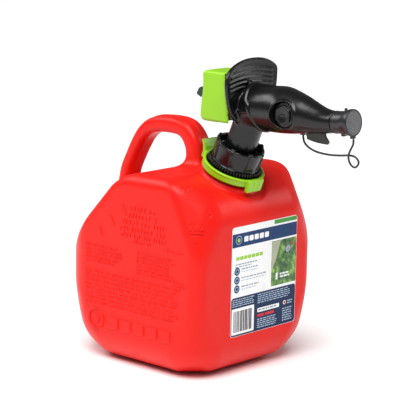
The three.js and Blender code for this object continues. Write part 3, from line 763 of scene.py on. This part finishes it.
def side_marks():
    parts = Parts()
    middle = 14
    upper = [(middle - half, middle + half, v, size) for half, v, size in (
        (17, 155.5, 5.0), (20, 148.4, 5.0), (28, 141.6, 4.6), (30, 135.2, 4.4), (29, 129.4, 3.8),
        (12, 124.4, 3.2))]
    for seed, height, rows in (
        (31, 0.95, upper),
        (32, 0.75, [(45, 67, 122.6, 3.2)]),
        (33, 0.75, [(-62, -18 + 6 * math.sin(k), 113 - 3.9 * k, 2.6) for k in range(5)]),
        (34, 0.75, [(6, 52 + 2 * math.sin(2 * k), 114.5 - 3.9 * k, 2.6) for k in range(6)]),
        (35, 0.7, [(52, 70, 95 - 3.6 * k, 2.4) for k in range(2)]),
        (36, 0.75, [(-62, 63 - 4 * (k % 3), 87.5 - 4.4 * k, 2.7) for k in range(8)]),
    ):
        mark_rows(parts, SIDE_WALL, rows, seed, height)
    for u0, v0, u1, v1 in ((-44.6, 134.5, -40, 124.8), (-29, 147, -23.6, 136.6), (-14, 160.6, -7.8, 149.8)):
        lean = Vector((u1 - u0, v1 - v0)).normalized()
        side = Vector((-lean.y, lean.x)) * 0.9
        stroke = [(u0 - side.x, v0 - side.y), (u1 - side.x, v1 - side.y),
                  (u1 + side.x, v1 + side.y), (u0 + side.x, v0 + side.y)]
        raised(parts, SIDE_WALL, stroke, 0.6, 0.3)
    for k in range(5):
        block = rounded_outline((-30 + 17 * k, 35.4), (-16.4 + 17 * k, 47.8), 2.4, 4)
        raised(parts, SIDE_WALL, block, 1.4, 0.8)
    ring_centre = (-46.5, 42)
    mark_ring(parts, SIDE_WALL, ring_centre, 9.6, 1.0, 1.2)
    raised(parts, SIDE_WALL, ring_outline(ring_centre, 4.6, 32), 1.2, 0.6)
    mark_rows(parts, FACET_WALL, [(-9, 4, 3.2, 4.2), (-9, 4.4, -2.6, 4.2), (-4.4, 0.4, -13.5, 2.6)], 37, 0.8)
    raised(parts, FACET_WALL, rounded_outline((-9, -5.4), (4.4, -4.4), 0.4, 1), 0.7, 0.15)
    make("side_marks", parts.points, parts.faces, RED, "tank", (), None, False)


def mark_ring(parts, wall, centre, radius, half_width, height):
    """A raised ring: a closed band turned round the centre."""
    section = [(-half_width, RING_ROOT), (half_width, RING_ROOT), (half_width, RING_FOOT),
               (half_width * 0.5, height), (-half_width * 0.5, height), (-half_width, RING_FOOT)]
    points, faces = turned([(radius + reach, out) for reach, out in section], 64)
    parts.add([wall.at(centre[0] + u, centre[1] + v, out) for u, v, out in points], faces)


PARTING_RADIUS = 0.85
PARTING_FOOT = 116       # it starts above this height


def parting_line():
    """The fine ridge left by the mould, over the outside of the handle."""
    outside = []
    last = len(HANDLE_PATH) - 1
    for k, (x, z, half) in enumerate(HANDLE_PATH):
        ahead = HANDLE_PATH[min(k + 1, last)] - HANDLE_PATH[max(k - 1, 0)]
        length = math.hypot(ahead[0], ahead[1])
        outside.append((x - ahead[1] / length * half, 0, z + ahead[0] / length * half))
    path = smooth_path([p for p in outside if p[2] > PARTING_FOOT], 160)
    points, faces = tube(path, PARTING_RADIUS, 8)
    make("parting_line", points, faces, RED, "tank")


label_piece()
side_marks()
parting_line()


# ---- The spout ----
BARREL = curve_values([         # x, height of the axis, radius
    (70, 255.2, 21.4), (84, 255.4, 21.7), (98, 255.5, 21.7), (111, 256.1, 22.0),
    (118, 256.0, 21.5), (125, 255.4, 20.3), (132, 254.8, 18.8), (139, 254.3, 17.1),
    (145, 253.5, 15.5), (151, 252.7, 14.0), (160, 251.7, 12.0), (167, 251.5, 10.9),
    (173.4, 251.9, 10.3), (186, 253.0, 10.3),
], 260)
BARREL_SLOPE = np.gradient(BARREL[:, 2], BARREL[:, 0] + np.arange(len(BARREL)) * 1e-9)
BARREL_WALL = 2.3
BARREL_END = 173.4
RECESS = (125.3, 254.3)        # x and z of the round recess in the barrel's side
RECESS_RADIUS = 12.4
TUBE_RADIUS = 15.0
TUBE_WALL = 2.4
ROD_HEIGHT = 252.4
FLANGE_CENTRE = 219.0          # x of the axis that the finger flange curves round
FLANGE_CURVE = 150.0
FLANGE_THICKNESS = 3.2
FLANGE_FRONT = 90
FLANGE_EDGE = 1.3
BEAD = 2.1
RIBS, RIB_TOP, RIB_PITCH, RIB_RADIUS = 6, 290.5, 4.3, 1.0


def flange_outline():
    """The flange's outline (y, z), anticlockwise as seen from the front."""
    far = [(8, 239), (20, 243.5), (29, 253), (34.5, 268), (36, 283), (34, 292), (20, 298.4), (0, 299)]
    near = [(-17, 295.6), (-29.5, 290), (-35.6, 281.5), (-34.5, 268), (-29, 253), (-20, 243.5), (-8, 239)]
    ring = np.array(far + near, float)
    closed = np.vstack([ring[-1:], ring, ring[:2]])
    return [tuple(between(*closed[k:k + 4], t)) for k in range(len(ring)) for t in (0, 0.25, 0.5, 0.75)]


FLANGE_OUTLINE = flange_outline()


def flange_field(x, y, z):
    reach = hypot(x - FLANGE_CENTRE, y)
    middle = FLANGE_CURVE + FLANGE_THICKNESS / 2
    shell = abs(reach - middle) - FLANGE_THICKNESS / 2
    outline = convex(y, z, FLANGE_OUTLINE)
    plate = cut(shell, outline, FLANGE_EDGE)
    beaded_edge = hypot(reach - middle - 0.4, outline + 1.6) - BEAD
    plate = join(plate, maximum(beaded_edge, x - FLANGE_FRONT), 0.8)
    heights = (RIB_TOP - RIB_PITCH * k - 0.0035 * y * y for k in range(RIBS))
    ribs = any_of(*(hypot(z - height, reach - FLANGE_CURVE) - RIB_RADIUS for height in heights))
    ribs = all_of(ribs, outline + 4.5, slab(y, -36, 30))
    return maximum(join(plate, ribs, 0.8), x - FLANGE_FRONT)


def spout_field(x, y, z):
    """Elbow, barrel, nozzle, finger flange and trigger guide in one moulding, hollow inside."""
    across, sideways, along = to_neck(x, y, z)
    axis_radius = hypot(across, sideways)
    lower_tube = cut(axis_radius - TUBE_RADIUS, slab(along, 13, 62), 0.6)
    foot = cut(axis_radius - 20.6, slab(along, 10.8, 13.9), 0.6)
    spigot = cut(axis_radius - 14.8, slab(along, 2.5, 12), 0.5)
    groove = maximum(14 - axis_radius, slab(along, 4, 6.4))
    spigot = maximum(spigot, -groove)

    centre = interp(x, BARREL[:, 0], BARREL[:, 1])
    size = interp(x, BARREL[:, 0], BARREL[:, 2])
    slope = interp(x, BARREL[:, 0], BARREL_SLOPE)
    radius = hypot(y, z - centre)
    steep = 1 / np.sqrt(1 + slope ** 2)
    step_in_lip = 3.0 / (1 + np.exp(clip((z - 262) / 0.8, -30, 30)))
    rear = (x - 75 - 0.30 * (277 - z) - step_in_lip) * 0.958
    barrel = cut((radius - size) * steep, -rear, 1.0)
    barrel = cut(barrel, x - BARREL_END, 0.5)
    lip = cut(cut(radius - size - 1.2, -rear, 0.9), rear - 3.6, 0.9)
    barrel = join(barrel, lip, 1.2)
    tip_axis = interp(x, [170, 186], [251.6, 253.1])
    tip = cut(hypot(y, z - tip_axis) - 8.8, slab(x, 168, 185), 0.6)

    core = cut(hypot(y, z - 254.6) - 17.8, slab(x, 66.3, 90), 1)
    elbow = join(core, lower_tube, 5)
    web = cut(cut(abs(y) - 2, slab(z, 262, 283 - (x - 64) * 0.7), 0.8), slab(x, 66.5, 82), 0.8)
    low_web = cut(cut(abs(z - 252) - 1.2, abs(y) - 20.5, 0.8), slab(x, 66.5, 86), 0.8)
    guide = rounded_box(x, y, z, (44.5, -15.2, 241.3), (68.4, 15.2, 283.7), 1.5)
    anchor = rounded_box(x, y, z, (133.4, -2.4, 235.4), (138.6, 2.4, 241), 1.2)

    outside = join(elbow, barrel, 1.5)
    outside = any_of(outside, foot, spigot, tip, guide)
    outside = join(outside, minimum(web, low_web), 1.0)
    outside = join(outside, anchor, 1.2)
    outside = join(outside, only_near((x < 97) & (z > 232), FAR, flange_field, x, y, z), 2.5)

    recess = hypot(x - RECESS[0], z - RECESS[1])
    pocket = maximum(recess - RECESS_RADIUS, 14 + y)
    pocket_wall = all_of(recess - RECESS_RADIUS - 2, slab(-y, 12, 22), radius - size + 0.5)
    pocket_rim = maximum(hypot(recess - RECESS_RADIUS - 0.9, radius - size) - 1.0, y)

    inner_size = np.where(x < 88, minimum(size - BARREL_WALL, 15.6), size - BARREL_WALL)
    inner_size = np.where(x > 167, 7.4, inner_size)
    hollow = maximum((radius - inner_size) * steep, slab(x, 71, 190))
    tube_hollow = maximum(axis_radius - TUBE_RADIUS + TUBE_WALL, slab(along, 1, 63))
    guide_hollow = all_of(slab(x, 43, 63.2), abs(y) - 13.2, slab(z, 243.3, 281.7))
    rod_hole = maximum(hypot(y, z - ROD_HEIGHT) - 2.9, slab(x, 60, 75))
    seal_pocket = maximum(hypot(y, z - ROD_HEIGHT) - 5.2, slab(x, 62, 66.8))
    hook_slot = rounded_box(x, y, z, (138.4, -1.6, 228), (163.6, 1.6, 240.9), 0.2)
    holes = any_of(hollow, tube_hollow, guide_hollow, rod_hole, seal_pocket, hook_slot)
    solid = maximum(join(outside, pocket_rim, 0.8), -holes)
    return carve(minimum(solid, pocket_wall), pocket, 0.5)


net_piece("spout", spout_field, (35, -41, 187), (186, 41, 301), 0.85, BLACK, "spout",
          "spout_body")


# ---- Plug in the barrel's side ----
def plug_field(x, y, z):
    """A six-sided head on a round flange, with a dished top and a slot."""
    u, v = x - RECESS[0], z - RECESS[1]
    recess = hypot(u, v)
    angles = (math.pi * k / 3 for k in range(6))
    sides = all_of(*(u * math.cos(angle) + v * math.sin(angle) - 8.4 for angle in angles))
    head = cut(cut(sides, recess - 9.4, 1), slab(-y, 14.4, 18.6), 1.2)
    flange = cut(recess - 11.4, slab(-y, 14.4, 15.6), 0.4)
    slot = rounded_box(u, y, v, (-2.6, -19.5, -0.9), (2.6, -17, 0.9), 0.5)
    dish = hypot(recess, y + 40.6) - 22.9
    return carve(carve(join(head, flange, 0.8), dish, 0.5), slot, 0.3)


net_piece("barrel_plug", plug_field, (113, -19, 242), (138, -14, 267), 0.5, BLACK, "spout",
          "side_plug")


# ---- Hook under the nozzle ----
def polygon(u, v, corners):
    """Distance to any outline."""
    best = np.full(np.shape(u), FAR_OFF ** 2)
    sign = np.ones(np.shape(u))
    for (au, av), (bu, bv) in zip(corners, corners[1:] + corners[:1]):
        eu, ev = bu - au, bv - av
        wu, wv = u - au, v - av
        t = clip((wu * eu + wv * ev) / (eu * eu + ev * ev), 0, 1)
        best = minimum(best, (wu - eu * t) ** 2 + (wv - ev * t) ** 2)
        above, below, left = v >= av, v < bv, eu * wv > ev * wu
        flip = (above & below & left) | (~above & ~below & ~left)
        sign = np.where(flip, -sign, sign)
    return sign * np.sqrt(best)


HOOK_OUTLINE = [(139.6, 240.2), (139.8, 236.6), (140.8, 234.6), (144.6, 233), (149.6, 231.8),
                (155, 230.8), (160.2, 230.3), (164.6, 230.4), (166.4, 231.2), (166.9, 232.6),
                (165.2, 234.8), (163.4, 236.8), (162.6, 238.6), (162.6, 240.2)]


def hook_field(x, y, z):
    """A thin fin with a rounded rail along its lower edge."""
    fin = cut(polygon(x, z, HOOK_OUTLINE), abs(y) - 1.2, 0.6)
    rail_height = 231.2 + maximum(160 - x, 0) ** 2 * 0.006
    rail = maximum(hypot(y, z - rail_height) - 1.2, slab(x, 141, 165.5))
    return join(fin, rail, 0.6)


net_piece("hook", hook_field, (138, -3, 228.6), (168.5, 3, 241.5), 0.45, HOOK, "spout",
          "nozzle_hook")


# ---- Trigger and latch ----
TRIGGER_BACK, TRIGGER_FRONT = 24.3, 59.5
TRIGGER_FOOT, TRIGGER_TOP = 237.5, 287.4
TRIGGER_HALF, TRIGGER_INSIDE = 17.5, 15.7
TRIGGER_LEAN = 6         # of its front edge, over its height
CROWN = 0.6


def trigger_field(x, y, z):
    """A hollow block, open in front, with a waisted back and a slot for the latch."""
    rise = clip((z - TRIGGER_FOOT) / (TRIGGER_TOP - TRIGGER_FOOT), 0, 1)
    waist = 1.6 * np.exp(-((z - 270) / 13) ** 2)
    back = TRIGGER_BACK - 2.6 + 2 * rise + waist - x
    front = x - (TRIGGER_FRONT - TRIGGER_LEAN * rise)
    profile = cut(cut(back, slab(z, TRIGGER_FOOT, TRIGGER_TOP), 6), front, 0.8)
    crown = CROWN * (1 - (y / TRIGGER_HALF) ** 2)
    block = cut(cut(profile, abs(y) - TRIGGER_HALF, 3.5), z - TRIGGER_TOP + CROWN - crown, 4)
    inside = all_of(abs(y) - TRIGGER_INSIDE, slab(z, 239.3, 284.2), 30 - x)
    notch = all_of(abs(y) - TRIGGER_INSIDE, z - 242, 44 - x)
    slot = rounded_box(x, y, z, (20, -12, 255), (32, 12, 270.6), 1.5)
    return carve(carve(block, minimum(inside, notch), 0.4), slot, 0.6)


net_piece("trigger", trigger_field, (20.5, -18.5, 236.5), (61, 18.5, 289), 0.7, GREEN, "trigger",
          "trigger_button")

LATCH_OUTLINE = [(12, 262), (12.7, 260.6), (17, 258.6), (29.5, 259.5), (35, 262), (35, 268), (28, 269),
                 (17.2, 268.6), (14.6, 266.8)]


def latch_field(x, y, z):
    """A wedge with a hole for its pin and five thumb grooves on top."""
    wedge = cut(polygon(x, z, LATCH_OUTLINE), abs(y) - 11, 0.9)
    pin_hole = hypot(x - 32, z - 265) - 1.9
    rod_room = rounded_box(x, y, z, (28.6, -14, 245), (45, 14, 260.5), 0.3)
    grooves = any_of(*(hypot(x - 13.6 - k * 1.9, z - 267.9 - k * 0.3) - 0.55 for k in range(5)))
    return carve(all_of(wedge, -pin_hole, -rod_room), maximum(grooves, abs(y) - 8), 0.2)


net_piece("latch", latch_field, (9, -12, 257), (36, 12, 270), 0.5, LATCH, "latch",
          "safety_latch")


# ---- Collar and lock ring, in the neck's frame ----
COLLAR_GRIPS = 8
SKIRT_TEETH = 56
POINTS_PER_TOOTH = 12
SKIRT_RADIUS, COLLAR_RADIUS = 25.3, 22.8
THREAD_PITCH = 5


def has_teeth(radius, height):
    return radius > 24.6 and height < 8


def collar_ripple(angle, radius, height):
    """Narrow ribs on the collar's barrel, lobes on its rim, teeth on its skirt and a thread in its bore."""
    middle = abs((angle * COLLAR_GRIPS / (2 * math.pi)) % 1 - 0.5)
    if has_teeth(radius, height):
        tooth = (angle * SKIRT_TEETH / (2 * math.pi)) % 1
        return 1.1 * clip((0.26 - abs(tooth - 0.5)) * 9, 0, 1)
    if radius > 21.8 and 8.4 < height < 23:
        fade = min(1, (height - 8.4) / 1.2, (23 - height) / 1.2)
        return 1.3 * clip((0.04 - middle) * 60, 0, 1) * fade
    if radius > 22.3 and height > 23.6:
        return 0.9 * clip((0.13 - middle) * 16, 0, 1)
    if radius < 21.9 and 0 < height < 13:
        along = (height / THREAD_PITCH - angle / (2 * math.pi)) % 1
        return -1.1 * clip((0.2 - abs(along - 0.5)) * 8, 0, 1)
    return np.zeros(len(angle))


def collar_piece():
    skirt, barrel = SKIRT_RADIUS, COLLAR_RADIUS
    profile = [(21.7, h) for h in np.linspace(14.2, -2.4, 34)]
    profile += [(22.2, -2.7), (skirt - 0.5, -2.7), (skirt - 0.1, -2.2)]
    profile += [(skirt, h) for h in np.linspace(-1.8, 6.9, 8)]
    profile += [(skirt - 0.15, 7.2), (skirt - 0.6, 7.4), (24.0, 7.6), (23.6, 7.7), (barrel + 0.3, 8.1)]
    profile += [(barrel + 0.8 * t, 8.6 + t * 14.6) for t in np.linspace(0, 1, 14)]
    profile += [(barrel + 0.9, 23.8), (barrel + 0.9, 25.2), (barrel + 0.6, 25.9), (barrel - 0.1, 26.3)]
    profile += [(21.6, 26.3), (21.1, 26.0), (21.0, 25.2), (20.9, 18.8), (20.4, 18.2), (19.6, 17.9)]
    profile += [(16.8, 17.4), (16.3, 17.0), (16.2, 16.4), (16.2, 14.8), (16.5, 14.3), (17.2, 14.2)]
    profile += [(20, 14.2)]
    sides = POINTS_PER_TOOTH * SKIRT_TEETH
    points, faces = turned(profile, sides, collar_ripple)
    parts = Parts()
    parts.add(from_neck(points), faces)
    for k in range(len(faces)):
        tooth = (k % sides + 0.5) / POINTS_PER_TOOTH % 1
        if has_teeth(*profile[k // sides]) and abs(tooth - 0.5) > 0.24:
            parts.which[k] = 1      # painted shade in the gap between two teeth, which is the collar's own black plastic
    knob, knob_faces = surface_net(
        lambda x, y, z: rounded_box(x, y, z, (-1.3, -2.1, -1.6), (1.3, 2.1, 1.6), 0.8),
        (-1.5, -2.3, -1.8), (1.5, 2.3, 1.8), 0.5)
    reach, across, height = knob[:, 0] + 22.4, knob[:, 1], knob[:, 2] + 26.4
    for k in range(COLLAR_GRIPS):
        angle = 2 * math.pi * (k + 0.5) / COLLAR_GRIPS
        c, s = math.cos(angle), math.sin(angle)
        parts.add(from_neck(np.stack([reach * c - across * s, reach * s + across * c, height], 1)),
                  knob_faces)
    make("screw_collar", parts.points, parts.faces, [COLLAR_BLACK, TOOTH_GAP_SHADE], "collar",
         ["collar"], parts.which)


collar_piece()


RING_BORE = 27.55
TAB_OUTLINE = [(-28.4, -3.7), (-28.4, 3.7), (-30.6, 7.2), (-33.5, 10.5), (-36.4, 13), (-37.6, 11.8),
               (-34.5, 8), (-32.4, 3), (-32, -3.7)]


def tab_field(u, v, w):
    return cut(polygon(u, w, TAB_OUTLINE), abs(v) - 11.5, 0.8)


def ring_field(u, v, w):
    """A band with a lip on top, a grooved lifting block in front and a leaning tab behind."""
    radius = hypot(u, v)
    band = cut(abs(radius - 28.8) - 1.25, abs(w) - 3.7, 0.8)
    upper_lip = cut(abs(radius - 29.3) - 1.3, slab(w, 2.1, 3.7), 0.6)
    block = rounded_box(u, v, w, (28.6, -11.5, -7.5), (33.3, 9, 5.5), 1.6)
    groove = minimum(hypot(u - 33.6, v - 2), hypot(u - 33.6, v + 4.5)) - 0.9
    block = carve(block, maximum(groove, slab(w, -6, 4.2)), 0.4)
    tab = only_near(u < -20, 30.0, tab_field, u, v, w)
    ring = join(join(band, block, 1.5), tab, 1.5)
    return maximum(join(ring, upper_lip, 0.8), RING_BORE - radius)


net_piece("ring", ring_field, (-38.5, -31, -8.5), (34.5, 31, 14), 0.6, GREEN, "lock",
          "lock_ring", place=from_neck)


# ---- Cap ----
CAP_END_X = 194.3
CAP_LENGTH = (CAP_END_X - CAP_ORIGIN[0]) / math.cos(NOZZLE_TILT)


def cap_field(u, v, w):
    """A flared cup with rings on its end, and a nib, a lug and the tether's eye outside."""
    radius = hypot(u, v)
    outer = interp(w, [0, 1.2, 1.6, 10, 12, 14, 17, CAP_LENGTH],
                      [10.6, 10.6, 10.35, 10.5, 10.9, 11.6, 12.4, 12.5])
    shell = cut((radius - outer) * 0.95, slab(w, 0, CAP_LENGTH), 0.7)
    recess = maximum(radius - 10.9, CAP_LENGTH - 0.6 - w)
    shell = carve(shell, recess, 0.3)
    for ring in (8.4, 5.2):
        shell = join(shell, hypot(radius - ring, w - CAP_LENGTH + 0.6) - 0.4, 0.3)
    shell = join(shell, hypot(radius, (w - CAP_LENGTH + 0.7) * 2.2) - 2.0, 0.5)
    hollow = maximum(radius - 9.2, w - CAP_LENGTH + 3)
    nib = rounded_box(u, v, w, (-13.2, -1.3, CAP_LENGTH - 9.6), (-10, 1.3, CAP_LENGTH - 7.4), 0.7)
    lug = rounded_box(u, v, w, (9.6, -3, 6.5), (12.6, 3, 10), 1.0)
    eye = rounded_box(u, v, w, (11.5, -2.2, CAP_LENGTH - 4), (14.6, 2.2, CAP_LENGTH), 0.8)
    return maximum(join(shell, any_of(nib, lug, eye), 0.8), -hollow)


def cap_piece():
    points, quads = surface_net(cap_field, (-15.5, -13.5, -1), (16, 13.5, 21.5), 0.5)
    middle = points[quads].mean(axis=1)
    on_end = (hypot(middle[:, 0], middle[:, 1]) < 11) & (middle[:, 2] > CAP_LENGTH - 1.2)
    make("dust_cap", from_cap(points), quads, [CAP_GREY, CAP_END], "cap", ["nozzle_cap"],
         on_end)


cap_piece()


# ---- The tether, a free cord from the barrel to the cap ----
TETHER_RADIUS = 1.0
TETHER_ROUTE = [
    (136, 0, 234.8), (137.2, 0, 229.8), (141, 0, 226), (147.5, 0, 223.1), (155.8, 0, 221.5),
    (167.5, 0.1, 221.1), (179, 0.5, 221.9), (189.3, 1.2, 223.3), (195.6, 1.7, 222.5),
    (199.4, 1.8, 219.2), (199.2, 1.4, 215.6), (196.4, 0.5, 213.3), (192.9, -0.5, 215.2),
    (190.8, -1.4, 219.8), (190.8, -1.6, 224.6), (192.6, -1.1, 229.6), (194.4, -0.4, 234),
    (194.4, 0, 238.1),
]


def tether_piece():
    path = smooth_path(TETHER_ROUTE, 136)
    points, faces = tube(path, TETHER_RADIUS, 12)
    piece = make("tether", points, faces, TETHER, None, ["cap_tether"])
    return piece


tether = tether_piece()


# ---- The spring that pushes the trigger out, at one fixed length ----
SPRING_TURNS = 6.5
SPRING_RADIUS = 7.2
SPRING_WIRE = 0.75
SPRING_START = 33.2
SPRING_LENGTH = 28.8
SPRING_STEPS = 28        # points in a turn


def spring_piece():
    path = []
    pitch = SPRING_LENGTH / SPRING_TURNS
    for k in range(int(SPRING_TURNS * SPRING_STEPS) + 1):
        angle = 2 * math.pi * k / SPRING_STEPS
        path.append(Vector((SPRING_START + pitch * k / SPRING_STEPS,
                            *round_about((0, ROD_HEIGHT), SPRING_RADIUS, angle))))
    points, faces = tube(path, SPRING_WIRE, 10)
    piece = make("trigger_spring", points, faces, STEEL, "spout", ["return_spring"])
    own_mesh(piece)


spring_piece()


# ---- Carried-over pieces ----
CARRIED = (
    (MESH_STEEL, ("flame_arrestor",)),
    (STEEL, ("latch_pin",)),
    (RUBBER, ("neck_gasket", "swivel_seal", "rod_seal", "valve_seal", "cap_liner")),
    (INNER, ("rod_guide", "valve_seat", "vent_tube", "valve_rod", "valve_head")),
)
for material, node_names in CARRIED:
    for node_name in node_names:
        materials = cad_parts[node_name].data.materials
        materials.clear()
        materials.append(material)


# ---- The stage ----
FLOOR_HALF = 8           # metres, as are the lights' places
WORLD_STRENGTH = 0.15
SKY_STRENGTH, SKY_ANGLE = 3.5, 45


def make_stage():
    mesh = bpy.data.meshes.new("floor")
    corners = [(u * FLOOR_HALF, v * FLOOR_HALF, 0) for u, v in ((-1, -1), (1, -1), (1, 1), (-1, 1))]
    mesh.from_pydata(corners, [], [(0, 1, 2, 3)])
    floor = new_object("floor", mesh)
    surface = Surface("pale_floor")
    surface.paint(surface.noise(FLOOR_SCALE, 1), (0, [0.93] * 3), (1, [0.96] * 3))
    surface.shader["Roughness"].default_value = 0.8
    mesh.materials.append(surface.material)


def add_lamp(data, way, place=(0, 0, 0)):
    lamp = new_object(data.name, data)
    lamp.location = place
    lamp.rotation_euler = Vector(way).to_track_quat("-Z", "Y").to_euler()


def area_light(name, place, target, size, power, size_y=None):
    data = bpy.data.lights.new(name, "AREA")
    data.energy = power
    data.size = size
    if size_y:
        data.shape = "RECTANGLE"
        data.size_y = size_y
    add_lamp(data, Vector(target) - Vector(place), place)


def make_light():
    world = bpy.data.worlds.new("studio")
    bpy.context.scene.world = world
    world.use_nodes = True
    background = world.node_tree.nodes["Background"]
    background.inputs["Color"].default_value = (1, 1, 1, 1)
    background.inputs["Strength"].default_value = WORLD_STRENGTH
    sky = bpy.data.lights.new("sky_panel", "SUN")
    sky.energy = SKY_STRENGTH
    sky.angle = math.radians(SKY_ANGLE)
    add_lamp(sky, (-0.32, 0.42, -1))
    spout = (0.1, 0, 0.25)
    area_light("overhead", (0.3, -0.8, 1.2), spout, 0.5, 2)
    area_light("left_high", (-1.0, -0.75, 1.25), spout, 1.5, 14, 0.5)
    area_light("far_side", (0.7, 1.1, 0.7), (0.05, 0, 0.15), 0.4, 3)


make_stage()
make_light()
bpy.context.scene.view_settings.view_transform = "Standard"

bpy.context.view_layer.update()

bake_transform(tether)
